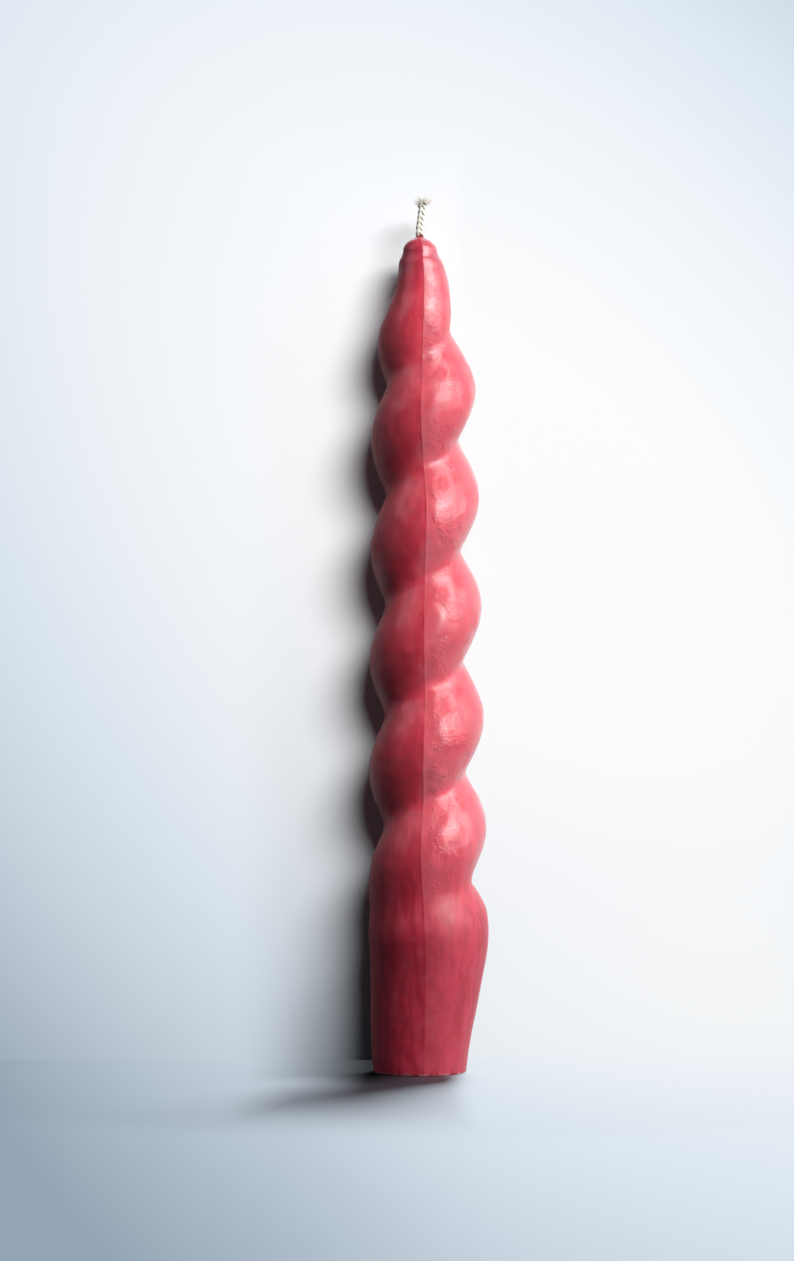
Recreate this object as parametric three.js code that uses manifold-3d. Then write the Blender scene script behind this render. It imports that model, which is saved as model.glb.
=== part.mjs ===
// Spiral candle: one wax casting round a plaited cotton wick. Millimetres, +Z up.
// The origin is the centre of the foot's flat underside. The wick leaves the tip near the Z axis.
import * as THREE from "three";
import { mergeVertices } from "three/addons/utils/BufferGeometryUtils.js";
import Module from "manifold-3d";

const wasm = await Module();
wasm.setup();

// Heights of the wax
const waxHeight = 191.4;
const footHeight = 31; // the plain foot, up to its widest place
const tipLength = 43; // the stretch in which the outline closes in and the groove fades out
const shoulderDrop = 13.3; // from the wax's top down to the tip's shoulder
const domeHeight = 3.5;

// Radii of the outline that the spiral's crest touches
const footRadius = 10.65;
const footTopRadius = 13.8;
const crestTopRadius = 12.2;
const shoulderRadius = 6.85;
const neckRadius = 3.95;
const footChamfer = 0.5;

// The spiral: one right-handed groove, deeper on the side that faces +X
const pitch = 25.3;
const grooveDepth = 4;
const grooveSkew = 0.55;
const grooveFillet = 0.21; // 0 is a sharp V, 1 is nearly a cosine
const grooveRunOut = 17.7; // height over which the groove sinks in above the foot

// How far the section's centre stands off to +X: the casting is bowed a little
const footBow = 2.05;
const spiralTopBow = 1.1;
const tipBow = 0.3;

// How the tip closes in
const ogivePower = 2.3;
const shoulderSlope = -0.12;
const neckSlope = -0.7;

// The wick: three strands, plaited flat
const strandDiameter = 0.56;
const plaitGap = 0.12; // clear width left between two strands that pass
const wickFree = 8.4; // standing out of the wax
const wickFloor = 3; // wax left under the wick's lower end
const wickLean = 0.7; // the free end leans to +X
const channelClearance = 0.3;
const plaitBuried = 5; // the stretch of plait below the tip that is modelled
const plaitFlatness = 0.75; // its half depth over its half width
const plaitLay = 7.6; // its pitch over its half width
const slantShare = 0.85;
const frayLength = 2;
const fraySpread = 1;

// The strands' order in the plait, and the way that each one's frayed end turns
const strands = [
  { name: "middle", order: 0, frayX: 0.2, frayY: -0.5 },
  { name: "right", order: 1, frayX: 1, frayY: 0.1 },
  { name: "left", order: 2, frayX: -1, frayY: 0.3 },
];

// Facets
const sidesRound = 40;
const rowStep = 2;
const domeRows = 4;
const channelSides = 20;
const strandSides = 8;
const laneSteps = 6;
const plaitStep = 0.35;

const wax = new THREE.MeshStandardMaterial({ color: 0xc63f58, roughness: 0.42, metalness: 0 });
const cotton = new THREE.MeshStandardMaterial({ color: 0xece4d2, roughness: 0.92, metalness: 0 });

// Heights that follow from the sizes above
const spiralTop = waxHeight - tipLength;
const shoulderHeight = waxHeight - shoulderDrop;
const neckHeight = waxHeight - domeHeight;

function lerp(a, b, t) {
  return a + (b - a) * t;
}

// Cubic curve from a to b over a span, with the slopes given at both ends
function hermite(a, slopeA, b, slopeB, span, t) {
  const t2 = t * t;
  const t3 = t2 * t;
  const fromA = (2 * t3 - 3 * t2 + 1) * a + (t3 - 2 * t2 + t) * slopeA * span;
  const fromB = (3 * t2 - 2 * t3) * b + (t3 - t2) * slopeB * span;
  return fromA + fromB;
}

// Radius of the smooth outline that the crest touches, from the foot to the top of the dome
function crestRadius(z) {
  if (z < footHeight) {
    return lerp(footRadius, footTopRadius, z / footHeight);
  }
  if (z < spiralTop) {
    return lerp(footTopRadius, crestTopRadius, (z - footHeight) / (spiralTop - footHeight));
  }
  if (z < shoulderHeight) {
    const t = (z - spiralTop) / (shoulderHeight - spiralTop);
    return lerp(crestTopRadius, shoulderRadius, t ** ogivePower);
  }
  if (z < neckHeight) {
    const span = neckHeight - shoulderHeight;
    const t = (z - shoulderHeight) / span;
    return hermite(shoulderRadius, shoulderSlope, neckRadius, neckSlope, span, t);
  }
  const t = Math.min(1, (z - neckHeight) / domeHeight);
  return neckRadius * Math.sqrt(1 - t * t);
}

// Share of the groove's full depth: none on the foot, all along the spiral, fading out into the tip
function grooveShare(z) {
  const sunk = THREE.MathUtils.smoothstep(z, footHeight, footHeight + grooveRunOut);
  const t = THREE.MathUtils.clamp((z - spiralTop) / (neckHeight - spiralTop), 0, 1);
  return sunk * (1 - t * t);
}

// 1 on the crest and 0 in the groove: a round crest and a V with a filleted bottom
function lobe(angle) {
  const f = grooveFillet;
  return (Math.hypot(Math.cos(angle / 2), f) - f) / (Math.hypot(1, f) - f);
}

// Centre of the section at a height, off to +X
function bowAt(z) {
  if (z < footHeight) return footBow * THREE.MathUtils.smoothstep(z, 0, footHeight);
  if (z < spiralTop) return lerp(footBow, spiralTopBow, (z - footHeight) / (spiralTop - footHeight));
  return lerp(spiralTopBow, tipBow, THREE.MathUtils.smoothstep(z, spiralTop, neckHeight));
}

// A point of the wax's skin. The crest faces +X at the top of the foot, and turns with the height.
function waxPoint(z, theta) {
  const crestAngle = (2 * Math.PI * (z - footHeight)) / pitch;
  const depth = (grooveDepth + grooveSkew * Math.cos(theta)) * grooveShare(z);
  const radius = crestRadius(z) - depth * (1 - lobe(theta - crestAngle));
  return [bowAt(z) + radius * Math.cos(theta), radius * Math.sin(theta), z];
}

// Rings of points joined into one closed skin, with a point in the middle of each end
function loft(rings, bottom, top) {
  const sides = rings[0].length;
  const vertices = [...rings.flat(), bottom, top].flat();
  const bottomAt = rings.length * sides;
  const topAt = bottomAt + 1;
  const last = (rings.length - 1) * sides;
  const faces = [];
  for (let j = 0; j < sides; j++) {
    const next = (j + 1) % sides;
    faces.push(bottomAt, next, j);
    faces.push(topAt, last + j, last + next);
    for (let i = 0; i < rings.length - 1; i++) {
      const low = i * sides;
      const high = low + sides;
      faces.push(low + j, low + next, high + next);
      faces.push(low + j, high + next, high + j);
    }
  }
  const geometry = new THREE.BufferGeometry();
  geometry.setAttribute("position", new THREE.Float32BufferAttribute(vertices, 3));
  geometry.setIndex(faces);
  return geometry;
}

// Heights of the wax's rings above the lowest: the chamfer, even rows up to the neck, then the dome
function ringHeights() {
  const heights = [footChamfer];
  const rows = Math.ceil(neckHeight / rowStep);
  for (let i = 1; i <= rows; i++) heights.push((neckHeight * i) / rows);
  for (let i = 1; i <= domeRows; i++) {
    heights.push(neckHeight + domeHeight * Math.sin((i / (domeRows + 1)) * (Math.PI / 2)));
  }
  return heights;
}

// One ring of the wax's skin, drawn in by the inset
function ring(z, inset) {
  const points = [];
  for (let j = 0; j < sidesRound; j++) {
    const theta = (2 * Math.PI * j) / sidesRound;
    const [x, y] = waxPoint(z, theta);
    points.push([x - inset * Math.cos(theta), y - inset * Math.sin(theta), z]);
  }
  return points;
}

// A closed geometry as a solid that can be cut
function solidOf(geometry) {
  const bare = geometry.clone();
  bare.deleteAttribute("normal");
  bare.deleteAttribute("uv");
  const merged = mergeVertices(bare, 1e-4);
  const vertProperties = new Float32Array(merged.attributes.position.array);
  const triVerts = new Uint32Array(merged.index.array);
  return new wasm.Manifold(new wasm.Mesh({ numProp: 3, vertProperties, triVerts }));
}

function geometryOf(solid) {
  const mesh = solid.getMesh();
  const geometry = new THREE.BufferGeometry();
  geometry.setAttribute("position", new THREE.Float32BufferAttribute(mesh.vertProperties, 3));
  geometry.setIndex(Array.from(mesh.triVerts));
  geometry.computeVertexNormals();
  return geometry;
}

// The plait seen from above is a figure of eight, x = w sin p and y = h sin 2p, and the strands follow
// each other a third of a turn apart. Two of them come closest at nearest * w, and their slant takes
// slantShare of that, so w follows from the strand and the gap.
const nearest = Math.sqrt(1.5 - 3 / (16 * plaitFlatness ** 2));
const plaitHalfWidth = (strandDiameter + plaitGap) / (nearest * slantShare);
const plaitHalfDepth = plaitFlatness * plaitHalfWidth;
const plaitPitch = plaitLay * plaitHalfWidth;
const plaitReach = (plaitHalfWidth * (1 + 4 * plaitFlatness ** 2)) / (4 * plaitFlatness);
const channelRadius = plaitReach + strandDiameter / 2 + channelClearance;
const plaitStart = waxHeight - plaitBuried;
const wickTop = waxHeight + wickFree;
const plaitSteps = Math.ceil((wickTop - plaitStart) / plaitStep);

// Centre line of a strand at a height. Deep in the wax it keeps to its lane, the plait starts up
// gently below the tip, and the free end leans over and frays.
function strandPoint(strand, z) {
  const along = Math.max(0, z - plaitStart);
  const easing = plaitPitch / 2;
  const plaited = along < easing ? along ** 2 / (2 * easing) : along - easing / 2;
  const phase = 2 * Math.PI * (plaited / plaitPitch + strand.order / 3);
  const free = Math.max(0, z - waxHeight) / wickFree;
  const fray = Math.max(0, z - (wickTop - frayLength)) / frayLength;
  const middle = tipBow + wickLean * free ** 2;
  const x = middle + plaitHalfWidth * Math.sin(phase) + fraySpread * strand.frayX * fray ** 2;
  const y = plaitHalfDepth * Math.sin(2 * phase) + fraySpread * strand.frayY * fray ** 2;
  return [x, y, z];
}

// The same centre line as a curve, with long steps in the lane and short ones in the plait
class StrandCurve extends THREE.Curve {
  constructor(strand) {
    super();
    this.strand = strand;
  }

  getPoint(t, target = new THREE.Vector3()) {
    const step = t * (laneSteps + plaitSteps);
    const inLane = lerp(wickFloor, plaitStart, step / laneSteps);
    const inPlait = lerp(plaitStart, wickTop, (step - laneSteps) / plaitSteps);
    return target.set(...strandPoint(this.strand, step < laneSteps ? inLane : inPlait));
  }

  getPointAt(u, target) {
    return this.getPoint(u, target);
  }

  getTangentAt(u, target) {
    return this.getTangent(u, target);
  }
}

function strandGeometry(strand) {
  const corners = [];
  for (let i = 0; i < strandSides; i++) {
    const angle = (2 * Math.PI * i) / strandSides;
    corners.push(new THREE.Vector2(Math.cos(angle), Math.sin(angle)).multiplyScalar(strandDiameter / 2));
  }
  return new THREE.ExtrudeGeometry(new THREE.Shape(corners), {
    steps: laneSteps + plaitSteps,
    extrudePath: new StrandCurve(strand),
    bevelEnabled: false,
  });
}

// The casting, with the wick's channel bored from the tip to just above the foot
function waxGeometry() {
  const rings = [ring(0, footChamfer), ...ringHeights().map((z) => ring(z, 0))];
  const body = solidOf(loft(rings, [0, 0, 0], [bowAt(waxHeight), 0, waxHeight]));
  const channelFloor = wickFloor - channelClearance;
  const channelLength = wickTop - channelFloor;
  const channel = new THREE.CylinderGeometry(channelRadius, channelRadius, channelLength, channelSides);
  channel.rotateX(Math.PI / 2);
  channel.translate(tipBow, 0, channelFloor + channelLength / 2);
  return geometryOf(body.subtract(solidOf(channel)));
}

const candle = new THREE.Group();
candle.name = "spiral_candle";

function add(name, geometry, material) {
  const mesh = new THREE.Mesh(geometry, material);
  mesh.name = name;
  candle.add(mesh);
}

add("wax_body", waxGeometry(), wax);
for (const strand of strands) add("wick_strand_" + strand.name, strandGeometry(strand), cotton);

export default candle;
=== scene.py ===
import math
import bpy
import numpy as np
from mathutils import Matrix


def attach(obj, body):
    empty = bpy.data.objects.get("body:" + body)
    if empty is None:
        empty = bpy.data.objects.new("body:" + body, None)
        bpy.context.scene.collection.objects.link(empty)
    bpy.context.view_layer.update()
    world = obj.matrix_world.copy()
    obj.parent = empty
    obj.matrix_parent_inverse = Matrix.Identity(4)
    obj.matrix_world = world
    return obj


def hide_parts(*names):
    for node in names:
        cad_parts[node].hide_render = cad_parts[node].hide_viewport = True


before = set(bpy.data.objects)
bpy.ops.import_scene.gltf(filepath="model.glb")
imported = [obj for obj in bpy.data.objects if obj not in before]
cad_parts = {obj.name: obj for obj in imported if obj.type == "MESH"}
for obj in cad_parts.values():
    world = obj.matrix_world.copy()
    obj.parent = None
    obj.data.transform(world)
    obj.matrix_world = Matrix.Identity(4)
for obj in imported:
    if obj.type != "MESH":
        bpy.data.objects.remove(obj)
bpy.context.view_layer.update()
turn = 2 * math.pi

# Camera: level with the middle of the candle, a little to its left, looking along +Y
cameraSettings = {
    "place": (-0.0052, -0.95, 0.1013),
    "lens": 118.2,
    "filmLongSide": 36.0,
    "clip": (0.05, 30),
}


def makeCamera(s):
    data = bpy.data.cameras.new("camera")
    data.lens = s["lens"]
    data.sensor_width = s["filmLongSide"]
    data.clip_start, data.clip_end = s["clip"]
    camera = bpy.data.objects.new("camera", data)
    camera.location = s["place"]
    camera.rotation_euler = (math.pi / 2, 0, 0)
    bpy.context.scene.collection.objects.link(camera)
    bpy.context.scene.camera = camera


makeCamera(cameraSettings)
print("camera placed")


def smooth(x, low, high):
    # 0 below low, 1 above high, and 3t2 - 2t3 between
    t = np.clip((x - low) / (high - low), 0, 1)
    return t * t * (3 - 2 * t)


def mixed(a, b, t):
    # a where t is 0, b where it is 1
    return a + (b - a) * t


def waves(points, wavelength, seed, count=26):
    # An uneven field near -1 to 1: a sum of cosine waves of about one length in random directions
    rng = np.random.default_rng(seed)
    ways = rng.normal(size=(count, 3))
    ways /= np.linalg.norm(ways, axis=1, keepdims=True)
    ways *= turn / wavelength * rng.uniform(0.7, 1.3, (count, 1))
    starts = rng.uniform(0, turn, count)
    return np.cos(points @ ways.T + starts).sum(-1) / math.sqrt(2 * count)


def meshFromSkins(name, skins, material):
    # Each skin is a stack of rings (row, column, xyz) closed by a point at each end. Its faces join
    # neighbouring points of neighbouring rings, and its UV is the share round and the share along.
    points, faces, uvs = [], [], []
    base = 0
    for rings, first, last in skins:
        rows, columns = rings.shape[:2]
        points += [rings.reshape(-1, 3), np.reshape(first, (1, 3)), np.reshape(last, (1, 3))]
        i, j = np.meshgrid(np.arange(rows - 1), np.arange(columns), indexing="ij")
        after = (j + 1) % columns
        low, high = base + i * columns, base + (i + 1) * columns
        faces += np.stack([low + j, low + after, high + after, high + j], -1).reshape(-1, 4).tolist()
        u, v = j / columns, i / (rows - 1)
        du, dv = 1 / columns, 1 / (rows - 1)
        corners = [np.stack([u, v], -1), np.stack([u + du, v], -1),
                   np.stack([u + du, v + dv], -1), np.stack([u, v + dv], -1)]
        uvs.append(np.stack(corners, 2).reshape(-1, 2))
        ends = base + rows * columns
        j = np.arange(columns)
        after = (j + 1) % columns
        faces += np.stack([np.full(columns, ends), base + after, base + j], -1).tolist()
        top = ends - columns
        faces += np.stack([np.full(columns, ends + 1), top + j, top + after], -1).tolist()
        u = j / columns
        for v in (0.0, 1.0):
            fan = [np.stack([u + du / 2, u * 0 + v], -1), np.stack([u + du, u * 0 + v], -1),
                   np.stack([u, u * 0 + v], -1)]
            uvs.append(np.stack(fan, 1).reshape(-1, 2))
        base = ends + 2
    mesh = bpy.data.meshes.new(name)
    mesh.from_pydata(np.concatenate(points).tolist(), [], faces)
    layer = mesh.uv_layers.new(name="along")
    layer.data.foreach_set("uv", np.concatenate(uvs).astype(np.float32).ravel())
    mesh.shade_smooth()
    mesh.materials.append(material)
    mesh.validate()
    piece = bpy.data.objects.new(name, mesh)
    bpy.context.scene.collection.objects.link(piece)
    return piece


def node(tree, kind, values=None, **settings):
    # A new node: settings are its own properties, values its inputs, each a link or a fixed value
    made = tree.nodes.new(kind)
    for key, value in settings.items():
        setattr(made, key, value)
    for key, value in (values or {}).items():
        if isinstance(value, bpy.types.NodeSocket):
            tree.links.new(value, made.inputs[key])
        else:
            made.inputs[key].default_value = value
    return made


def sums(tree, operation, a, b=0.5, c=0.0):
    # One step of arithmetic on one to three values
    return node(tree, "ShaderNodeMath", {0: a, 1: b, 2: c}, operation=operation).outputs[0]


def blended(tree, a, b, share, mode="MIX"):
    # Colour a with a share of colour b over it
    mix = node(tree, "ShaderNodeMix", data_type="RGBA", blend_type=mode)
    for at, value in ((0, share), (6, a), (7, b)):
        if isinstance(value, bpy.types.NodeSocket):
            tree.links.new(value, mix.inputs[at])
        else:
            mix.inputs[at].default_value = value
    return mix.outputs[2]


def ranged(tree, value, low, high, toLow=0.0, toHigh=1.0):
    # toLow below low, toHigh above high, and an S curve between
    made = node(tree, "ShaderNodeMapRange", {"Value": value, "From Min": low, "From Max": high,
                                             "To Min": toLow, "To Max": toHigh})
    made.interpolation_type = "SMOOTHSTEP"
    return made.outputs[0]


def bumped(tree, heights, strength=1.0):
    # A Bump node for each height and distance, each on top of the last
    below = {}
    for height, distance in heights:
        values = {"Height": height, "Distance": distance, "Strength": strength}
        bump = node(tree, "ShaderNodeBump", {**values, **below})
        below = {"Normal": bump.outputs[0]}
    return bump.outputs[0]


def newGroup(name, inputs, output):
    # An empty node group with its named inputs and its one output
    group = bpy.data.node_groups.new(name, "ShaderNodeTree")
    for label, kind, value in inputs:
        socket = group.interface.new_socket(label, in_out="INPUT", socket_type=kind)
        socket.default_value = value
    group.interface.new_socket(output, in_out="OUTPUT", socket_type="NodeSocketFloat")
    return group, group.nodes.new("NodeGroupInput").outputs, group.nodes.new("NodeGroupOutput").inputs


def cloudIn(group, given, detail, roughness, distortion=0.0):
    # Noise on the object's own coordinates, closer together along an axis where Stretch is more than 1
    place = node(group, "ShaderNodeTexCoord").outputs["Object"]
    pulled = node(group, "ShaderNodeVectorMath", {0: place, 1: given["Stretch"]}, operation="MULTIPLY")
    return node(group, "ShaderNodeTexNoise", {
        "Vector": pulled.outputs[0], "Scale": given["Scale"], "Detail": detail, "Roughness": roughness,
        "Distortion": distortion}).outputs[0]


def makePatches():
    # Soft-edged patches: the noise, cut off between Low and High
    group, given, out = newGroup("softPatches", [
        ("Stretch", "NodeSocketVector", (1, 1, 1)), ("Scale", "NodeSocketFloat", 100.0),
        ("Low", "NodeSocketFloat", 0.45), ("High", "NodeSocketFloat", 0.65)], "Mask")
    cloud = cloudIn(group, given, 4.0, 0.55, 0.4)
    group.links.new(ranged(group, cloud, given["Low"], given["High"]), out["Mask"])
    return group


def makeGrain():
    # Fine grain: the noise itself, as a height
    group, given, out = newGroup("fineGrain", [
        ("Stretch", "NodeSocketVector", (1, 1, 1)), ("Scale", "NodeSocketFloat", 1500.0)], "Height")
    group.links.new(cloudIn(group, given, 3.0, 0.6), out["Height"])
    return group


patches = makePatches()
grain = makeGrain()


def placed(tree, group, output, **values):
    # A node group set in a material, with its own values
    made = node(tree, "ShaderNodeGroup")
    made.node_tree = group
    for key, value in values.items():
        made.inputs[key].default_value = value
    return made.outputs[output]


def newMaterial(name):
    material = bpy.data.materials.new(name)
    material.use_nodes = True
    tree = material.node_tree
    tree.nodes.clear()
    return material, tree, node(tree, "ShaderNodeOutputMaterial")


# The casting. Lengths in metres; the names are those of the part's own sizes.
wax = {
    "height": 0.1914,
    "footHeight": 0.031,
    "tipLength": 0.043,
    "shoulderDrop": 0.0133,
    "domeHeight": 0.0035,
    "footRadius": 0.01065,
    "footTopRadius": 0.0138,
    "crestTopRadius": 0.0122,
    "shoulderRadius": 0.00685,
    "neckRadius": 0.00395,
    "footRounding": 0.0005,
    "underRings": (0.004, 0.0085, 0.0095),
    "pitch": 0.0253,
    "grooveDepth": 0.004,
    "grooveSkew": 0.00055,
    "grooveFillet": 0.21,
    "grooveRunOut": 0.0177,
    "footBow": 0.00205,
    "spiralTopBow": 0.0011,
    "tipBow": 0.00008,
    "ogivePower": 2.3,
    "shoulderSlope": -0.12,
    "neckSlope": -0.7,
    "easing": (0.0013, 0.001, 0.004),      # of the outline's corners: reach, and fading out below the neck
    "channelFloor": 0.0027,
    "channelRadius": 0.00138,
    "channelDrops": (0.0025, 0.006),       # its first rings below the lip, and then some even ones
    "channelFrom": 0.03,
    "channelRings": 7,
    "lipRadius": 0.00094,          # the wax stands up round the wick and clears it by a hair
    "lipAside": -0.00013,          # the wick comes out a little off the dome's middle
    "lipRise": 0.00025,
    "lipSpread": 0.0004,
    "lipFull": 0.001,              # this far above the neck it is at its full height
    "lipRoll": [(-0.00002, 0.00003), (-0.00004, -0.0001), (0.0, -0.0008)],     # past its radius and its top
    "crease": (0.1869, 0.00016, 0.0005),   # round the neck: height, depth and half width
    # The mould's parting line: heights and places off to +X of its turns on the front
    "seamTurns": [(0.0, 0.0011), (0.026, 0.00135), (0.050, 0.00025), (0.084, 0.00105), (0.105, 0.001),
                  (0.126, 0.0015), (0.150, 0.00025), (0.181, 0.001), (0.192, 0.0006)],
    "seamHeight": 0.00018,
    "seamWidth": 0.0021,
    "seamBead": 0.00004,           # a fine bead along its top
    "beadWidth": 0.0002,
    "seamFull": (0.022, 0.045, 0.155, 0.172),      # the ridge rises and fades at these heights
    "seamFaint": 0.35,             # share of it that is left on the foot and the tip
    "seamEnds": (-0.001, 0.0008, 0.002),   # it dies at the underside, and from here above the neck
    "seamSheen": 0.62,              # to the line's right the wax is painted paler, a painted sheen on the lit half
    "paleReach": 0.016,
    "sideSheen": (1.0, 1.0),        # the lit outer side is painted paler again, a painted sheen: how much, and the angle it reaches
    # Shallow dimples beside the line, one to a turn
    "dimpleTop": 0.1600,           # the topmost one's height
    "dimpleOff": 0.0041,           # their way off the line
    "dimpleReach": (0.0019, 0.0022),
    "dimpleDepth": 0.00016,
    "dimpleShade": 0.6,             # share of painted shade, in the deep red, in them
    "dimpledFrom": (0.045, 0.055),
    "dimpledTo": (0.165, 0.170),
    "swell": 0.00009,              # hand-poured unevenness, broad and then finer
    "swellLength": 0.013,
    "dent": 0.00005,
    "dentLength": 0.0042,
    "evenFoot": 0.002,             # none at the underside, nor close to the wick
    "evenInside": (0.0016, 0.0032),
    "shadedUnderSlope": (0.05, 0.5),     # how far a face leans over to count as a lobe's underside, which is painted in shade
    "columns": 200,
    "crowding": 0.45,              # columns crowd at both parting lines
    "rowStep": 0.00046,
    "edgeRings": 4,
    "domeRings": 19,
    "color": (0.77, 0.064, 0.103, 1),
    "footColor": (0.485, 0.032, 0.068, 1),
    "footDeepColor": (0.34, 0.010, 0.028, 1),
    "deepColor": (0.46, 0.012, 0.034, 1),
    # the next colour is both the pale bloom's and the painted sheen's
    "bloomAndSheenColor": (0.66, 0.22, 0.26, 1),
    "speckColor": (0.80, 0.55, 0.55, 1),
    "tipColor": (0.53, 0.034, 0.072, 1),
    # Heights between which the finish turns from the foot's to the spiral's, and to the tip's
    "turnsSpiral": (0.026, 0.062),
    "turnsGlossy": (0.030, 0.062),
    "turnsTip": (0.176, 0.188),
    "turnsRippled": (0.158, 0.170),
    "masks": {
        "deep": {"Stretch": (1, 1, 0.7), "Scale": 105.0, "Low": 0.47, "High": 0.66},
        "streaks": {"Stretch": (1, 1, 0.16), "Scale": 520.0, "Low": 0.42, "High": 0.62},
        "bloom": {"Stretch": (1, 1, 0.8), "Scale": 300.0, "Low": 0.50, "High": 0.72},
        "specks": {"Stretch": (1, 1, 1), "Scale": 1700.0, "Low": 0.69, "High": 0.74},
        "wrinkled": {"Stretch": (1, 1, 1), "Scale": 150.0, "Low": 0.42, "High": 0.60},
        "polish": {"Stretch": (1, 1, 1), "Scale": 170.0, "Low": 0.40, "High": 0.56},
    },
    "grains": {
        "lumps": {"Stretch": (1, 1, 1.3), "Scale": 430.0},
        "ripples": {"Stretch": (0.5, 0.5, 2.2), "Scale": 620.0},
        "fine": {"Stretch": (1, 1, 1), "Scale": 2600.0},
    },
    "depths": {"lumps": 0.00025, "wrinkles": 0.00007, "ripples": 0.00016, "fine": 0.000012},
    "leastLumps": 0.15,            # shares that are left away from the wrinkles and left of the line
    "leastRipples": 0.3,
    "wrinkleStretch": (1, 1, 1.7),
    "wrinkleScale": 360.0,
    "wrinkleWidth": 0.14,
    "wrinklesPale": (0.4, 0.52, 0.61),     # they are full from the first paleness and gone at the last
    # Shares of each colour: a pair is for the foot and the spiral, or for outside and inside the clouds
    # under is painted shade on the lobes' undersides and in the dimples; pale is a painted sheen on the lit
    # right half
    "shares": {"streaks": (0.75, 0.38), "under": (0.38, 0.80), "deep": 0.5, "pale": (0.12, 0.42),
               "bloom": 0.08, "specks": 0.35, "edgePaleShare": 0.5},
    "paleEdgeTo": (0.0001, 0.0008),
    "roughness": (0.50, 0.32),     # of the foot and the spiral
    "bloomRoughness": 0.12,
    "dimpleRoughness": 0.2,
    "footGloss": 0.08,
    "leastGloss": 0.4,
    "dimpleGloss": 0.1,
    "turnsDull": (0.1, 0.7),
}


def crestRadius(s, z):
    # The outline that the crest touches: two straight tapers, an ogive, a hollow shoulder, half an ellipse
    spiralTop = s["height"] - s["tipLength"]
    shoulder = s["height"] - s["shoulderDrop"]
    neck = s["height"] - s["domeHeight"]
    foot = mixed(s["footRadius"], s["footTopRadius"], z / s["footHeight"])
    share = (z - s["footHeight"]) / (spiralTop - s["footHeight"])
    body = mixed(s["footTopRadius"], s["crestTopRadius"], share)
    t = np.clip((z - spiralTop) / (shoulder - spiralTop), 0, 1)
    ogive = mixed(s["crestTopRadius"], s["shoulderRadius"], t ** s["ogivePower"])
    span = neck - shoulder
    t = np.clip((z - shoulder) / span, 0, 1)
    hollow = (2 * t**3 - 3 * t**2 + 1) * s["shoulderRadius"]
    hollow = hollow + (t**3 - 2 * t**2 + t) * s["shoulderSlope"] * span
    hollow = hollow + (3 * t**2 - 2 * t**3) * s["neckRadius"] + (t**3 - t**2) * s["neckSlope"] * span
    t = np.clip((z - neck) / s["domeHeight"], 0, 1)
    dome = s["neckRadius"] * np.sqrt(1 - t * t)
    below = [z < s["footHeight"], z < spiralTop, z < shoulder, z < neck]
    return np.select(below, [foot, body, ogive, hollow], dome)


def easedRadius(s, z):
    # The same with its corners eased: the mean of five heights, drawn together towards the neck
    most, none, full = s["easing"]
    reach = most * smooth(s["height"] - s["domeHeight"] - z, none, full)
    return sum(crestRadius(s, z + k * reach) for k in (-2, -1, 0, 1, 2)) / 5


def bowAt(s, z):
    # How far the section's centre stands off to +X: an S curve up the foot, a straight line along the
    # spiral, and an S curve up the tip
    spiralTop = s["height"] - s["tipLength"]
    neck = s["height"] - s["domeHeight"]
    foot = s["footBow"] * smooth(z, 0, s["footHeight"])
    body = mixed(s["footBow"], s["spiralTopBow"], (z - s["footHeight"]) / (spiralTop - s["footHeight"]))
    tip = mixed(s["spiralTopBow"], s["tipBow"], smooth(z, spiralTop, neck))
    return np.select([z < s["footHeight"], z < spiralTop], [foot, body], tip)


def waxRadius(s, z, theta):
    # The crest's outline less the groove, depth times 1 - lobe: the lobe is the hypotenuse of cos(half the
    # angle) and f, scaled from 0 to 1, which gives a round crest and a V with a filleted bottom
    neck = s["height"] - s["domeHeight"]
    spiralTop = s["height"] - s["tipLength"]
    sunk = smooth(z, s["footHeight"], s["footHeight"] + s["grooveRunOut"])
    t = np.clip((z - spiralTop) / (neck - spiralTop), 0, 1)
    depth = (s["grooveDepth"] + s["grooveSkew"] * np.cos(theta)) * sunk * (1 - t * t)
    half = (theta - turn * (z - s["footHeight"]) / s["pitch"]) / 2
    f = s["grooveFillet"]
    lobe = (np.hypot(np.cos(half), f) - f) / (math.hypot(1, f) - f)
    return easedRadius(s, z) - depth * (1 - lobe)


def seamPlace(s, z):
    # The parting line's place off to +X: an S curve from each turn to the next
    heights = np.array([h for h, _ in s["seamTurns"]])
    places = np.array([x for _, x in s["seamTurns"]])
    k = np.clip(np.searchsorted(heights, z) - 1, 0, len(heights) - 2)
    return mixed(places[k], places[k + 1], smooth(z, heights[k], heights[k + 1]))


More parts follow.
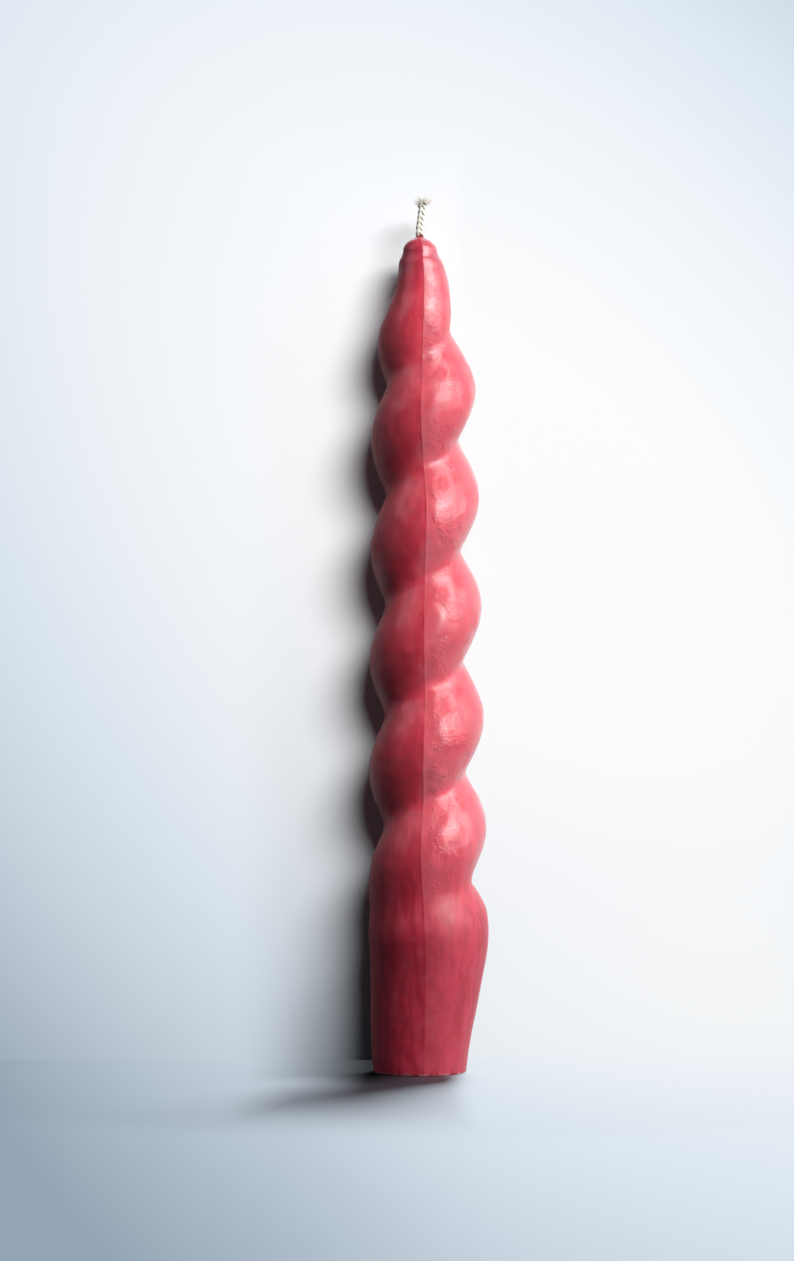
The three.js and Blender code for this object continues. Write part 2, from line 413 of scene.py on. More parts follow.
def makeWax(s, material):
    # One closed skin: underside, rounded edge, foot, spiral, dome, the lip round the wick, and down
    # the wick's channel to its floor. Each ring is a height and an inset from the wax's outline.
    neck = s["height"] - s["domeHeight"]
    edge = s["footRounding"]
    underInset = np.append(s["footRadius"] - np.array(s["underRings"]), edge)
    bend = np.linspace(0, math.pi / 2, s["edgeRings"] + 1)[1:]
    straight = np.linspace(edge, neck, round((neck - edge) / s["rowStep"]))[1:]
    lift = np.linspace(0, math.acos(s["lipRadius"] / s["neckRadius"]), s["domeRings"] + 1)[1:]
    dome = neck + s["domeHeight"] * np.sin(lift)
    z = np.concatenate([underInset * 0, edge * (1 - np.cos(bend)), straight, dome])
    inset = np.concatenate([underInset, edge * (1 - np.sin(bend)), 0 * straight, 0 * lift])
    z, inset = z[:, None], inset[:, None]
    t = np.arange(s["columns"]) / s["columns"]
    round0 = turn * t - s["crowding"] * np.sin(2 * turn * t) / 2
    radiusThere = crestRadius(s, np.minimum(z, neck))
    shift = (seamPlace(s, z) - bowAt(s, z)) / radiusThere
    theta = round0 - turn / 4 + shift * np.cos(round0)
    radius = waxRadius(s, z, theta)

    # Relief: the ridge on each parting line, and the unevenness of the casting
    away = np.minimum(round0, turn - round0) * radius          # along the skin from the front one
    behind = np.abs(round0 - math.pi) * radius
    near = np.minimum(away, behind)
    ridge = s["seamHeight"] * np.exp(-near / s["seamWidth"])
    ridge = ridge + s["seamBead"] * np.exp(-((near / s["beadWidth"]) ** 2))
    rises, full, fades, gone = s["seamFull"]
    ridge = ridge * mixed(s["seamFaint"], 1, smooth(z, rises, full) * (1 - smooth(z, fades, gone)))
    low, whole, aboveNeck = s["seamEnds"]
    ridge = ridge * smooth(z, low, whole) * (1 - smooth(z, neck + aboveNeck, s["height"]))
    skin = np.stack([bowAt(s, z) + radius * np.cos(theta), radius * np.sin(theta), z + 0 * theta], -1)
    uneven = s["swell"] * waves(skin, s["swellLength"], 3) + s["dent"] * waves(skin, s["dentLength"], 5)
    share = smooth(z, 0, s["evenFoot"]) * smooth(radius, *s["evenInside"])
    fromDimple = (z - s["dimpleTop"] + s["pitch"] / 2) % s["pitch"] - s["pitch"] / 2
    wideReach, highReach = s["dimpleReach"]
    dimple = np.exp(-(((away - s["dimpleOff"]) / wideReach) ** 2) - (fromDimple / highReach) ** 2)
    dimple = dimple * (round0 < math.pi) * smooth(z, *s["dimpledFrom"]) * (1 - smooth(z, *s["dimpledTo"]))
    uneven = uneven - s["dimpleDepth"] * dimple
    at, deep, wide = s["crease"]
    radius = radius - deep * np.exp(-(((z - at) / wide) ** 2))
    radius = np.maximum(radius + (ridge + uneven * share) - inset, 0)
    rise = s["lipRise"] * np.exp(-(radius - s["lipRadius"]) / s["lipSpread"])
    rise = rise * smooth(z, neck, neck + s["lipFull"])
    aside = s["lipAside"] * smooth(z, neck, s["height"])
    outer = np.stack([bowAt(s, z) + aside + radius * np.cos(theta), radius * np.sin(theta), z + rise], -1)

    # The lip rolls over, and the channel's wall goes down to its floor
    top = outer[-1, :, 2].mean()
    down = [(s["lipRadius"] + wider, top + higher) for wider, higher in s["lipRoll"]]
    down += [(s["channelRadius"], top - drop) for drop in s["channelDrops"]]
    heights = np.linspace(top - s["channelFrom"], s["channelFloor"], s["channelRings"])
    down += [(s["channelRadius"], h) for h in heights]
    down += [(s["channelRadius"] / 2, s["channelFloor"])]
    middle = outer[-1, :, 0].mean()
    wall = [np.stack([middle + r * np.cos(theta[-1]), r * np.sin(theta[-1]), 0 * theta[-1] + h], -1)
            for r, h in down]
    rings = np.concatenate([outer, np.array(wall)])
    piece = meshFromSkins("waxCandle", [(rings, (0, 0, 0), (middle, 0, s["channelFloor"]))], material)

    # Attributes for the material: where a painted sheen makes the wax paler, where painted shade darkens it,
    # and where dull
    pale, under, dull = np.zeros((3, *rings.shape[:2]))
    # Painted sheen: the right half, lit by the lamps, is paler from the line and most at its +X side
    most, reach = s["sideSheen"]
    side = most * np.exp(-((theta / reach) ** 2))
    paler = np.maximum(s["seamSheen"] * np.exp(-near / s["paleReach"]), side)
    pale[:len(outer)] = np.where(round0 < math.pi, paler, 0)
    # Painted shade: faces that lean over as a lobe's underside, and the dimples, take the deep red
    rows = slice(len(bend) + len(underInset), len(outer) - len(lift))
    slope = np.gradient(radius[rows], axis=0) / np.gradient(z[rows], axis=0)
    under[rows] = np.maximum(smooth(slope, *s["shadedUnderSlope"]), s["dimpleShade"] * dimple[rows])
    dull[:len(outer)] = dimple
    for name, values in (("pale", pale), ("under", under), ("dull", dull)):
        layer = piece.data.attributes.new(name, "FLOAT", "POINT")
        layer.data.foreach_set("value", np.append(values.ravel(), [0, 0]).astype(np.float32))
    return piece


def waxMaterial(s):
    material, tree, out = newMaterial("coralWax")
    place = node(tree, "ShaderNodeTexCoord").outputs["Object"]
    height = node(tree, "ShaderNodeSeparateXYZ", {0: place}).outputs["Z"]
    onSpiral = ranged(tree, height, *s["turnsSpiral"])
    mask = {name: placed(tree, patches, "Mask", **values) for name, values in s["masks"].items()}
    grains = {name: placed(tree, grain, "Height", **values) for name, values in s["grains"].items()}
    pale, under, dull = [node(tree, "ShaderNodeAttribute", attribute_name=name).outputs["Fac"]
                         for name in ("pale", "under", "dull")]

    # Colour: deep red clouds and streaks where the dye is stronger, painted shade in that red on the lobes'
    # undersides and in the dimples, a painted sheen over the lit right half, a pale bloom, and specks of dust
    share = s["shares"]
    plain = blended(tree, s["footColor"], s["color"], onSpiral)
    plain = blended(tree, plain, s["tipColor"], ranged(tree, height, *s["turnsTip"]))
    streaked = ranged(tree, height, *s["turnsSpiral"], *share["streaks"])
    streaked = sums(tree, "MULTIPLY", mask["streaks"], streaked)
    # Painted shade: the undersides and dimples take the deep red, more of it inside the clouds
    under = sums(tree, "MULTIPLY", under, ranged(tree, mask["deep"], 0.0, 1.0, *share["under"]))
    cloudsAndShade = sums(tree, "MAXIMUM", sums(tree, "MULTIPLY", mask["deep"], share["deep"]), under)
    deepest = blended(tree, s["footDeepColor"], s["deepColor"], onSpiral)
    color = blended(tree, plain, deepest, sums(tree, "MAXIMUM", cloudsAndShade, streaked))
    # Painted sheen: the lit right half is painted paler, along with the bloom's pale patches
    paler = sums(tree, "MULTIPLY", pale, ranged(tree, height, *s["turnsSpiral"], *share["pale"]))
    paler = sums(tree, "MULTIPLY_ADD", mask["bloom"], share["bloom"], paler)
    color = blended(tree, color, s["bloomAndSheenColor"], paler)
    color = blended(tree, color, s["speckColor"], sums(tree, "MULTIPLY", mask["specks"], share["specks"]))
    # Within a hair of the underside the edge is paler between the streaks
    paleEdge = ranged(tree, height, *s["paleEdgeTo"], share["edgePaleShare"], 0.0)
    paleEdge = sums(tree, "MULTIPLY", paleEdge, sums(tree, "SUBTRACT", 1.0, mask["streaks"]))
    color = blended(tree, color, s["speckColor"], paleEdge)

    # Wrinkles: the thin lines where a warped noise crosses its middle, in patches a little off the line
    pulled = node(tree, "ShaderNodeVectorMath", {0: place, 1: s["wrinkleStretch"]}, operation="MULTIPLY")
    cloud = node(tree, "ShaderNodeTexNoise", {"Vector": pulled.outputs[0], "Scale": s["wrinkleScale"],
                                              "Detail": 1.0, "Distortion": 1.4})
    offMiddle = sums(tree, "ABSOLUTE", sums(tree, "SUBTRACT", cloud.outputs[0], 0.5))
    line = ranged(tree, offMiddle, 0.0, s["wrinkleWidth"], 1.0, 0.0)
    full, fades, gone = s["wrinklesPale"]
    beside = sums(tree, "MULTIPLY", ranged(tree, pale, 0.0, full), ranged(tree, pale, fades, gone, 1.0, 0.0))
    where = sums(tree, "MULTIPLY", sums(tree, "MULTIPLY", mask["wrinkled"], beside), onSpiral)
    wrinkles = sums(tree, "MULTIPLY", line, where)
    lumps = sums(tree, "MULTIPLY", grains["lumps"], ranged(tree, where, 0.0, 1.0, s["leastLumps"], 1.0))
    ripples = sums(tree, "MULTIPLY", grains["ripples"], ranged(tree, height, *s["turnsRippled"]))
    ripples = sums(tree, "MULTIPLY", ripples, ranged(tree, pale, 0.0, full, s["leastRipples"], 1.0))
    depth = s["depths"]
    normal = bumped(tree, [(lumps, depth["lumps"]), (wrinkles, depth["wrinkles"]),
                           (ripples, depth["ripples"]), (grains["fine"], depth["fine"])])

    # Finish: a matt foot, a glossier spiral in patches, and dull dimples
    rough = sums(tree, "MULTIPLY", mask["bloom"], s["bloomRoughness"])
    rough = sums(tree, "ADD", rough, ranged(tree, height, *s["turnsSpiral"], *s["roughness"]))
    rough = sums(tree, "MULTIPLY_ADD", dull, s["dimpleRoughness"], rough)
    gloss = sums(tree, "MULTIPLY", ranged(tree, height, *s["turnsGlossy"], s["footGloss"], 1.0),
                 ranged(tree, mask["polish"], 0.0, 1.0, s["leastGloss"], 1.0))
    gloss = sums(tree, "MULTIPLY", gloss, ranged(tree, dull, *s["turnsDull"], 1.0, s["dimpleGloss"]))
    shader = node(tree, "ShaderNodeBsdfPrincipled", {
        "Base Color": color, "Roughness": rough, "Normal": normal, "IOR": 1.44,
        "Specular IOR Level": 0.4, "Subsurface Weight": 0.5, "Subsurface Radius": (1.0, 0.22, 0.14),
        "Subsurface Scale": 0.0032, "Coat Weight": gloss, "Coat Roughness": 0.24, "Coat IOR": 1.5,
        "Sheen Weight": 0.06, "Sheen Roughness": 0.45, "Sheen Tint": (1.0, 0.80, 0.84, 1)})
    tree.links.new(shader.outputs[0], out.inputs["Surface"])
    return material


candle = makeWax(wax, waxMaterial(wax))
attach(candle, "root")
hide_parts("wax_body")
print("wax made:", len(candle.data.polygons), "faces")


# The wick: three strands plaited flat, each of three twisted yarns that fray at the top
wick = {
    "strandRadius": 0.0004,
    "yarnRadius": 0.00029,
    "yarnLay": 0.0013,
    "yarnFuzz": (0.05, 0.0005),    # how much a yarn's radius wavers, and over what length
    "floor": 0.003,
    "free": 0.0084,                # length above the wax
    "aside": -0.00013,
    "lean": 0.00095,
    "leanPower": 1.6,
    "buried": 0.005,               # the plait starts this far under the wax's top
    "buriedRings": 6,
    "halfWidth": 0.00052,
    "flatness": 0.62,
    "lay": 7.0,                    # the plait's pitch over its half width
    "frayLength": 0.002,
    "fraySpread": 0.00045,
    "frayOpens": 1.1,              # at the end the yarns stand this much farther out
    "frayThins": 0.35,             # and are this much thinner
    "endGap": 0.0001,
    "yarnSides": 10,
    "yarnStep": 0.00011,
    "fibreRadius": 0.000034,
    "fibreSides": 4,
    "fibreRings": 8,
    "tuft": {"fibres": 150, "from": (0.0001, 0.0013), "follow": 0.4, "scatter": 0.6, "up": (0.3, 1.0),
             "curl": 0.35, "loose": 0.00009, "length": (0.0006, 0.0016)},
    "stray": {"fibres": 36, "from": 0.0012, "to": 0.001, "inside": 0.7, "thin": 0.7, "up": (0.5, 1.2),
              "length": (0.0003, 0.0007)},
    "strands": {
        "Middle": {"order": 0, "fray": (0.2, -0.5), "seed": 11},
        "Right": {"order": 1, "fray": (1.0, 0.1), "seed": 12},
        "Left": {"order": 2, "fray": (-1.0, 0.3), "seed": 13},
    },
    "color": (0.97, 0.95, 0.87, 1),
    "shadeColor": (0.90, 0.85, 0.74, 1),
    "soakedColor": (0.33, 0.02, 0.045, 1),
    "shade": {"Stretch": (1, 1, 0.6), "Scale": 1500.0, "Low": 0.42, "High": 0.66},
    "shadeShare": 0.4,
    "hairs": (9, 160, 1),          # noise cells round and along
    "fibreGrain": {"Stretch": (1, 1, 0.3), "Scale": 9000.0},
    "depths": (0.00002, 0.00001),  # of the hairs and the grain
    "soakedTo": (0.0003, 0.0010),  # heights above the wax's top, lower where the shade is
    "soakedUneven": -0.0003,
}


def strandPath(s, strand, z):
    # Seen from above the plait is a figure of eight, x = w sin p and y = h sin 2p, with the strands a third
    # of a turn apart. It starts gently below the tip, leans to +X by a power of the height, and frays out.
    pitch = s["lay"] * s["halfWidth"]
    along = np.maximum(0, z - (wax["height"] - s["buried"]))
    easing = pitch / 2
    plaited = np.where(along < easing, along**2 / (2 * easing), along - easing / 2)
    phase = turn * (plaited / pitch + strand["order"] / 3)
    free = np.maximum(0, z - wax["height"]) / s["free"]
    fray = np.maximum(0, z - (wax["height"] + s["free"] - s["frayLength"])) / s["frayLength"]
    middle = wax["tipBow"] + s["aside"] + s["lean"] * free ** s["leanPower"]
    frayX, frayY = strand["fray"]
    x = middle + s["halfWidth"] * np.sin(phase) + s["fraySpread"] * frayX * fray**2
    y = s["flatness"] * s["halfWidth"] * np.sin(2 * phase) + s["fraySpread"] * frayY * fray**2
    return np.stack([x, y, z + 0 * x], -1)


def frames(path):
    # Two directions square to the path at each of its points: its own direction crossed with a fixed one
    # that no path runs along, and the two crossed again
    ahead = np.gradient(path, axis=0)
    ahead /= np.linalg.norm(ahead, axis=-1, keepdims=True)
    side = np.cross(ahead, np.array([0.31, 0.95, 0.05]))
    side /= np.linalg.norm(side, axis=-1, keepdims=True)
    return side, np.cross(ahead, side)


def tube(path, radius, sides):
    # Rings of a round section carried along a path; the radius may change along it
    side, up = frames(path)
    angle = np.arange(sides) * turn / sides
    radius = np.broadcast_to(radius, len(path))[:, None, None]
    around = np.cos(angle)[:, None] * side[:, None] + np.sin(angle)[:, None] * up[:, None]
    return path[:, None] + radius * around, path[0], path[-1]


def makeStrand(s, name, strand, material):
    # Three yarns wind round the strand's path, a third of a turn apart: path + r (side cos a + up sin a)
    rng = np.random.default_rng(strand["seed"])
    plaitStart = wax["height"] - s["buried"]
    top = wax["height"] + s["free"]
    z = np.concatenate([np.linspace(s["floor"], plaitStart, s["buriedRings"] + 1)[:-1],
                        np.arange(plaitStart, top - s["endGap"], s["yarnStep"])])
    path = strandPath(s, strand, z)
    side, up = frames(path)
    fray = np.clip((z - (top - s["frayLength"])) / s["frayLength"], 0, 1)[:, None]
    skins = []
    for k in range(3):
        angle = (turn * (np.maximum(0, z - plaitStart) / s["yarnLay"] + k / 3))[:, None]
        off = (s["strandRadius"] - s["yarnRadius"]) * (1 + s["frayOpens"] * fray**2)
        yarn = path + off * (np.cos(angle) * side + np.sin(angle) * up)
        much, length = s["yarnFuzz"]
        fuzz = 1 + much * waves(yarn, length, strand["seed"] * 7 + k)
        thin = 1 - s["frayThins"] * smooth(fray[:, 0], 0.5, 1)
        skins.append(tube(yarn, s["yarnRadius"] * fuzz * thin, s["yarnSides"]))

    # The tuft: fibres that leave the end and curl outwards, each a bent line from a start to an end
    steps = np.linspace(0, 1, s["fibreRings"])[:, None]
    tuft = s["tuft"]
    for _ in range(tuft["fibres"]):
        start = strandPath(s, strand, np.array([top - rng.uniform(*tuft["from"])]))[0]
        across = [way * tuft["follow"] + rng.normal(0, tuft["scatter"]) for way in strand["fray"]]
        out = np.array([*across, rng.uniform(*tuft["up"])])
        curl = rng.normal(0, tuft["curl"], 3)
        length = rng.uniform(*tuft["length"])
        line = start + rng.normal(0, tuft["loose"], 3) + length * (steps * out + steps**2 * curl)
        skins.append(tube(line, s["fibreRadius"] * (1.25 - steps[:, 0]), s["fibreSides"]))

    # Stray fibres along the plait, lying close to it
    stray = s["stray"]
    for _ in range(stray["fibres"]):
        at = wax["height"] + rng.uniform(stray["from"], s["free"] - stray["to"])
        start = strandPath(s, strand, np.array([at]))[0]
        angle = rng.uniform(0, turn)
        out = np.array([math.cos(angle), math.sin(angle), 0.0])
        up = np.array([0, 0, rng.choice([-1, 1]) * rng.uniform(*stray["up"])])
        length = rng.uniform(*stray["length"])
        line = start + s["strandRadius"] * stray["inside"] * out
        line = line + length * (steps * out * 0.8 + steps**1.5 * up)
        skins.append(tube(line, s["fibreRadius"] * stray["thin"] * (1.2 - steps[:, 0]), s["fibreSides"]))
    return meshFromSkins("wickStrand" + name, skins, material)


def cottonMaterial(s):
    material, tree, out = newMaterial("plaitedCotton")
    shade = placed(tree, patches, "Mask", **s["shade"])
    color = blended(tree, s["color"], s["shadeColor"], sums(tree, "MULTIPLY", shade, s["shadeShare"]))
    at = node(tree, "ShaderNodeSeparateXYZ", {0: node(tree, "ShaderNodeTexCoord").outputs["Object"]})
    edge = sums(tree, "MULTIPLY_ADD", shade, s["soakedUneven"], at.outputs["Z"])
    low, high = s["soakedTo"]
    soaked = ranged(tree, edge, wax["height"] + low, wax["height"] + high, 1.0, 0.0)
    color = blended(tree, color, s["soakedColor"], soaked)

    # Hairs that run along each yarn by its own UV, and a fine grain
    along = node(tree, "ShaderNodeUVMap", uv_map="along").outputs[0]
    pulled = node(tree, "ShaderNodeVectorMath", {0: along, 1: s["hairs"]}, operation="MULTIPLY")
    hairs = node(tree, "ShaderNodeTexNoise", {"Vector": pulled.outputs[0], "Scale": 1.0, "Detail": 3.0})
    fibres = placed(tree, grain, "Height", **s["fibreGrain"])
    normal = bumped(tree, zip((hairs.outputs[0], fibres), s["depths"]), 0.8)
    shader = node(tree, "ShaderNodeBsdfPrincipled", {
        "Base Color": color, "Roughness": 0.9, "Normal": normal, "Sheen Weight": 0.2,
        "Subsurface Weight": 0.2, "Subsurface Radius": (1, 0.95, 0.8), "Subsurface Scale": 0.0001})
    tree.links.new(shader.outputs[0], out.inputs["Surface"])
    return material


cotton = cottonMaterial(wick)
for strandName, strand in wick["strands"].items():
    piece = makeStrand(wick, strandName, strand, cotton)
    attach(piece, "root")
    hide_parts("wick_strand_" + strandName.lower())
    print("strand made:", piece.name, len(piece.data.polygons), "faces")


# Floor and backdrop: a pale floor, and a pale sheet close behind the candle that shows from the front
# only. Their tone is a painted pool of light worked out across and up, and a floor point's depth counts as
# height below zero.
stage = {
    "wallAt": 0.0132,
    "lean": (0.013, 0.035),            # at its foot it stands off this much more, less by e each so high
    "wallHeight": 2.4,
    "bentHeight": 0.28,
    "bentRows": 29,
    "halfWidth": 3.0,
    "pale": (0.965, 0.973, 0.982, 1),
    "softBlue": (0.715, 0.795, 0.875, 1),
    "blueGrey": (0.296, 0.376, 0.462, 1),
    "blueFrom": 0.33,
    "brightAt": (0.030, 0.120),        # the painted pool of light's brightest place, across and up
    "reach": 0.1147,
    "fall": (0.28, 0.22, 0.24),        # how fast the painted light greys across, up and along the diagonal
    "least": -0.03,
    "most": 1.05,
    "farGrey": 0.33,
    "farFrom": (0.18, 0.32),           # between these distances from the candle's middle it turns to that
    "middle": 0.1,
    # Painted light where wall and floor meet: the wall's foot is painted paler to the right, the floor greyer
    # to the left
    "meet": (0.09, 0.105),
    "meetTurns": (-0.03, 0.02),
    "meetHeight": 0.05,
    "floorDepth": 0.19,                # the floor's depth is shortened as the camera sees it
    "glowFrom": (0.11, 0.17),          # far from the candle the paper shows its own even tone,
    "glowRight": (0.005, 0.012, 0.85), # and beside and above its shadow most of it
    "glowLeft": (-0.024, -0.045, 0.75),
    "glowAbove": (0.194, 0.222, 0.85),
    "bounce": (0.10, 0.10, 0.10, 1),   # share of its light that the paper gives back to the wax
    "mirror": (0.20, 0.20, 0.20, 1),   # and share of its left half that shows in the wax's gloss
    "mirrorTurns": (-0.02, 0.02),
    "edgeOn": (0.86, 0.93),            # seen this nearly edge on the wall clears
    "grain": {"Stretch": (1, 1, 1), "Scale": 900.0},
    "grainDepth": 0.00002,
    # A painted shadow on the floor left of the foot, where the candle's two shadows meet
    "shade": {"most": 0.96, "left": (-0.043, -0.009), "right": (-0.012, 0.002),
              "front": (-0.035, -0.004), "behind": (0.024, 0.060)},
}


def stageTone(tree, s, at, seeThrough):
    # A painted pool of light, greyer away from its brightest place: a u2 + b v2 + c u v, and an even pale grey
    # far off
    behind = sums(tree, "MINIMUM", sums(tree, "SUBTRACT", at["Y"], s["wallAt"]), 0.0)
    up = sums(tree, "ADD", at["Z"], sums(tree, "MULTIPLY", behind, s["floorDepth"]))
    u = sums(tree, "DIVIDE", sums(tree, "SUBTRACT", at["X"], s["brightAt"][0]), s["reach"])
    v = sums(tree, "DIVIDE", sums(tree, "SUBTRACT", up, s["brightAt"][1]), s["reach"])
    across = sums(tree, "MULTIPLY", sums(tree, "MULTIPLY", u, u), s["fall"][0])
    upward = sums(tree, "MULTIPLY", sums(tree, "MULTIPLY", v, v), s["fall"][1])
    diagonal = sums(tree, "MULTIPLY", sums(tree, "MULTIPLY", u, v), s["fall"][2])
    local = sums(tree, "ADD", sums(tree, "ADD", across, upward), sums(tree, "ADD", diagonal, s["least"]))
    # Painted light at the joint: the wall's foot paler to the right, the floor greyer to the left, so their
    # tones meet
    toRight = ranged(tree, at["X"], *s["meetTurns"])
    paler, greyer = s["meet"]
    if seeThrough:
        wallFoot = ranged(tree, at["Z"], 0.0, s["meetHeight"], -paler, 0.0)
        local = sums(tree, "MULTIPLY_ADD", wallFoot, toRight, local)
    else:
        local = sums(tree, "MULTIPLY_ADD", sums(tree, "SUBTRACT", 1.0, toRight), greyer, local)
    local = sums(tree, "MAXIMUM", sums(tree, "MINIMUM", local, s["most"]), 0.0)
    flat = node(tree, "ShaderNodeCombineXYZ", {0: at["X"], 1: up}).outputs[0]
    off = node(tree, "ShaderNodeVectorMath", {0: flat, 1: (0, s["middle"], 0)}, operation="DISTANCE")
    far = ranged(tree, off.outputs["Value"], *s["farFrom"])
    grey = node(tree, "ShaderNodeMix", {0: far, 2: local, 3: s["farGrey"]}).outputs[0]
    color = blended(tree, s["pale"], s["softBlue"], sums(tree, "DIVIDE", grey, s["blueFrom"]))
    farther = sums(tree, "DIVIDE", sums(tree, "SUBTRACT", grey, s["blueFrom"]), 1 - s["blueFrom"])
    return blended(tree, color, s["blueGrey"], farther)


def paintedFloorShadow(tree, s, at):
    # How much of the floor's tone the painted shadow takes: full inside its four soft edges
    held = ranged(tree, at["X"], *s["left"], 0.0, s["most"])
    held = sums(tree, "MULTIPLY", held, ranged(tree, at["X"], *s["right"], 1.0, 0.0))
    held = sums(tree, "MULTIPLY", held, ranged(tree, at["Y"], *s["front"]))
    return sums(tree, "MULTIPLY", held, ranged(tree, at["Y"], *s["behind"], 1.0, 0.0))


def stageMaterial(s, name, seeThrough):
    material, tree, out = newMaterial(name)
    place = node(tree, "ShaderNodeTexCoord").outputs["Object"]
    at = node(tree, "ShaderNodeSeparateXYZ", {0: place}).outputs
    color = stageTone(tree, s, at, seeThrough)
    if not seeThrough:
        # The painted shadow: the floor's tone is drawn towards black left of the foot
        color = blended(tree, color, (0, 0, 0, 1), paintedFloorShadow(tree, s["shade"], at))
    rays = node(tree, "ShaderNodeLightPath").outputs
    mirrored = sums(tree, "MULTIPLY", rays["Is Glossy Ray"], ranged(tree, at["X"], *s["mirrorTurns"], 1.0, 0.0))
    color = blended(tree, color, s["mirror"], mirrored, "MULTIPLY")

    # Paper that the lamps light, and the paper glowing in its tone with the painted light and shadow
    dimmed = blended(tree, color, s["bounce"], rays["Is Diffuse Ray"], "MULTIPLY")
    fine = placed(tree, grain, "Height", **s["grain"])
    normal = bumped(tree, [(fine, s["grainDepth"])], 0.3)
    paper = node(tree, "ShaderNodeBsdfDiffuse", {"Color": dimmed, "Normal": normal})
    glow = node(tree, "ShaderNodeEmission", {"Color": color, "Strength": 1.0})
    away = node(tree, "ShaderNodeVectorMath", {0: place, 1: (0, 0, s["middle"])}, operation="DISTANCE")
    share = ranged(tree, away.outputs["Value"], *s["glowFrom"])
    for axis, side in (("X", "glowRight"), ("X", "glowLeft"), ("Z", "glowAbove")):
        low, high, most = s[side]
        share = sums(tree, "MAXIMUM", share, ranged(tree, at[axis], low, high, 0.0, most))
    seen = sums(tree, "MAXIMUM", rays["Is Glossy Ray"], rays["Is Transmission Ray"])
    seen = sums(tree, "MAXIMUM", rays["Is Camera Ray"], seen)
    share = sums(tree, "MULTIPLY", share, seen)
    surface = node(tree, "ShaderNodeMixShader", {0: share, 1: paper.outputs[0], 2: glow.outputs[0]})
    if seeThrough:
        # It is clear from behind, and seen edge on. Lamps behind it shine through it on the candle, but
        # not by way of the paper.
        clear = node(tree, "ShaderNodeBsdfTransparent")
        back = node(tree, "ShaderNodeNewGeometry").outputs["Backfacing"]
        first = sums(tree, "LESS_THAN", rays["Diffuse Depth"], 0.5)
        opened = sums(tree, "MAXIMUM", back, sums(tree, "MULTIPLY", rays["Is Shadow Ray"], first))
        facing = node(tree, "ShaderNodeLayerWeight", {"Blend": 0.5}).outputs["Facing"]
        edgeOn = sums(tree, "MULTIPLY", rays["Is Camera Ray"], ranged(tree, facing, *s["edgeOn"]))
        opened = sums(tree, "MAXIMUM", opened, edgeOn)
        surface = node(tree, "ShaderNodeMixShader", {0: opened, 1: surface.outputs[0], 2: clear.outputs[0]})
    tree.links.new(surface.outputs[0], out.inputs["Surface"])
    return material


def makeStage(s):
    # A flat floor, and a wall at y = at + lean e^(-z / reach) that is the same all along x
    w = s["halfWidth"]
    mesh = bpy.data.meshes.new("floor")
    mesh.from_pydata([(-w, -w, 0), (w, -w, 0), (w, w, 0), (-w, w, 0)], [], [(0, 1, 2, 3)])
    mesh.materials.append(stageMaterial(s, "palePaperFloor", False))
    floor = bpy.data.objects.new("floor", mesh)
    mesh = bpy.data.meshes.new("backdrop")
    z = np.append(np.linspace(0, s["bentHeight"], s["bentRows"]), s["wallHeight"])
    y = s["wallAt"] + s["lean"][0] * np.exp(-z / s["lean"][1])
    points = np.concatenate([np.stack([z * 0 - w, y, z], -1), np.stack([z * 0 + w, y, z], -1)])
    i, n = np.arange(len(z) - 1), len(z)
    mesh.from_pydata(points.tolist(), [], np.stack([i, n + i, n + i + 1, i + 1], -1).tolist())
    mesh.shade_smooth()
    mesh.materials.append(stageMaterial(s, "palePaperWall", True))
    backdrop = bpy.data.objects.new("backdrop", mesh)
    for piece in (floor, backdrop):
        bpy.context.scene.collection.objects.link(piece)
    return {"floor": floor, "wall": backdrop}


paper = makeStage(stage)

# Lamps, by the angle round from the camera's side to the right, the angle up, size and watts. The candle
# has four; the wall and the floor have one each, which gives them their soft shadows.
lamps = {
    "panel": {"round": 64, "up": 18, "size": (1.80, 0.90), "watts": 17.2, "color": (1.0, 0.99, 0.98)},
    "key": {"round": 45, "up": 37, "size": (0.66, 0.86), "watts": 12.0, "color": (1.0, 0.99, 0.97)},
    "window": {"round": -75, "up": 50, "size": (1.20, 1.20), "watts": 2.6, "color": (0.92, 0.96, 1.0)},
    "back": {"round": 182, "up": 32, "size": (0.50, 0.50), "watts": 14.0, "color": (0.98, 0.99, 1.0)},
    "wallLamp": {"round": 22, "up": 27, "size": (0.74, 0.30), "watts": 16.9, "color": (1.0, 1.0, 1.0),
                 "only": "wall"},
    "floorLamp": {"round": 161, "up": 60, "size": (0.41, 0.41), "watts": 16.5, "color": (1.0, 1.0, 1.0),
                  "only": "floor"},
}
lampAway = 1.2
lampsAimAt = (0, 0, 0.1)
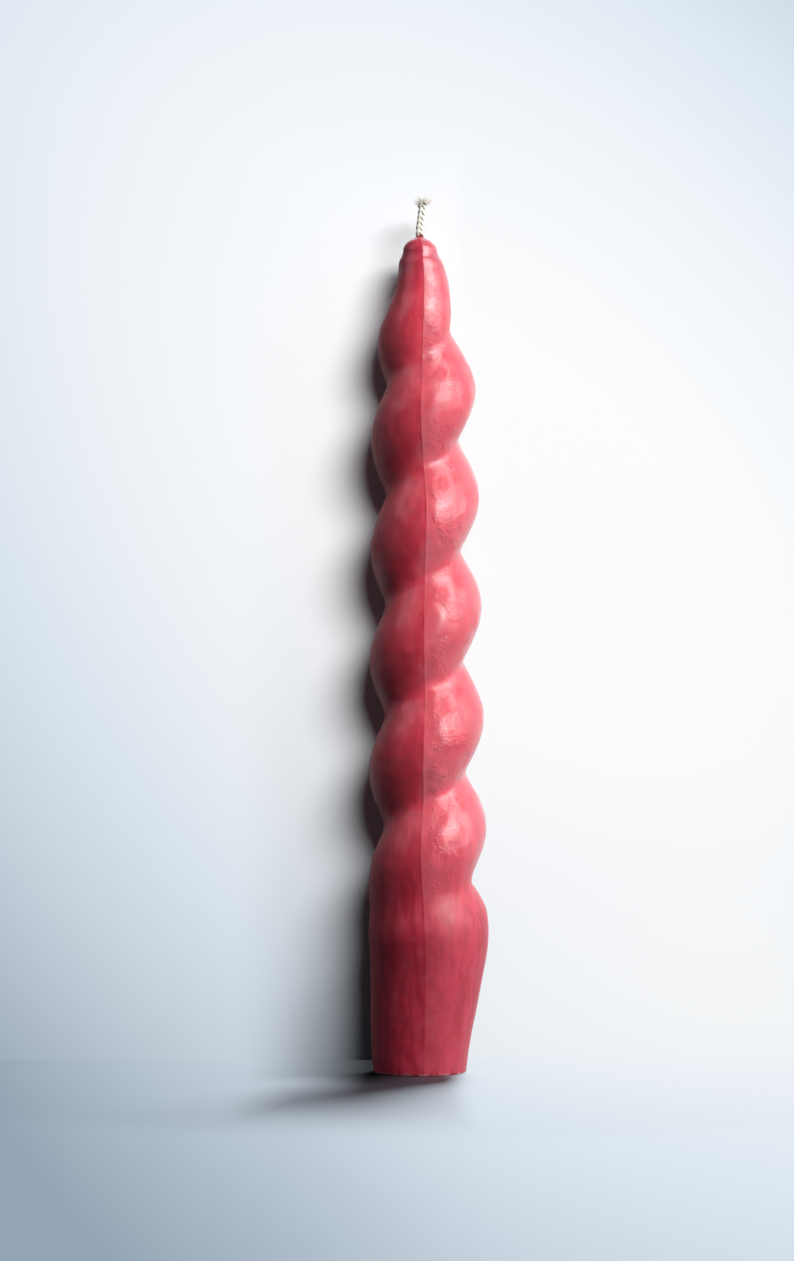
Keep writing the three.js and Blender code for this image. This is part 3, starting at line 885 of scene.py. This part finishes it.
roomLight = {
    "color": (0.84, 0.90, 1.0, 1),
    "strength": 0.045,
    "background": (0.715, 0.795, 0.875, 1),
    "mirror": 0.14,                    # share of the background that shows in the wax's gloss
}


def makeLamp(name, s):
    data = bpy.data.lights.new(name, "AREA")
    data.shape = "ELLIPSE" if "only" in s else "RECTANGLE"
    data.size, data.size_y = s["size"]
    data.energy = s["watts"]
    data.color = s["color"]
    lamp = bpy.data.objects.new(name, data)
    a, e = math.radians(s["round"]), math.radians(s["up"])
    way = np.array([math.sin(a) * math.cos(e), -math.cos(a) * math.cos(e), math.sin(e)])
    lamp.location = way * lampAway + np.array(lampsAimAt)
    lamp.rotation_euler = (math.pi / 2 - e, 0, a)
    lamp.visible_camera = False
    # A stage lamp lights its own sheet of paper; the others light everything but the paper
    group = bpy.data.collections.new(name + "Lights")
    for sheet in paper.values() if "only" not in s else [paper[s["only"]]]:
        group.objects.link(sheet)
    for entry in group.collection_objects:
        entry.light_linking.link_state = "INCLUDE" if "only" in s else "EXCLUDE"
    lamp.light_linking.receiver_collection = group
    bpy.context.scene.collection.objects.link(lamp)


def makeRoom(s):
    # A dim even light on everything, and a pale background that only the camera and the gloss see
    world = bpy.data.worlds.new("room")
    bpy.context.scene.world = world
    world.use_nodes = True
    tree = world.node_tree
    tree.nodes.clear()
    light = node(tree, "ShaderNodeBackground", {"Color": s["color"], "Strength": s["strength"]})
    seen = node(tree, "ShaderNodeBackground", {"Color": s["background"], "Strength": 1.0})
    rays = node(tree, "ShaderNodeLightPath")
    mirrored = sums(tree, "MULTIPLY", rays.outputs["Is Glossy Ray"], s["mirror"])
    direct = sums(tree, "MAXIMUM", rays.outputs["Is Camera Ray"],
                  sums(tree, "MAXIMUM", mirrored, rays.outputs["Is Transmission Ray"]))
    mix = node(tree, "ShaderNodeMixShader", {0: direct, 1: light.outputs[0], 2: seen.outputs[0]})
    out = node(tree, "ShaderNodeOutputWorld")
    tree.links.new(mix.outputs[0], out.inputs["Surface"])


for lampName, lampSettings in lamps.items():
    makeLamp(lampName, lampSettings)
makeRoom(roomLight)
bpy.context.scene.view_settings.view_transform = "Standard"
print("stage and lamps placed")
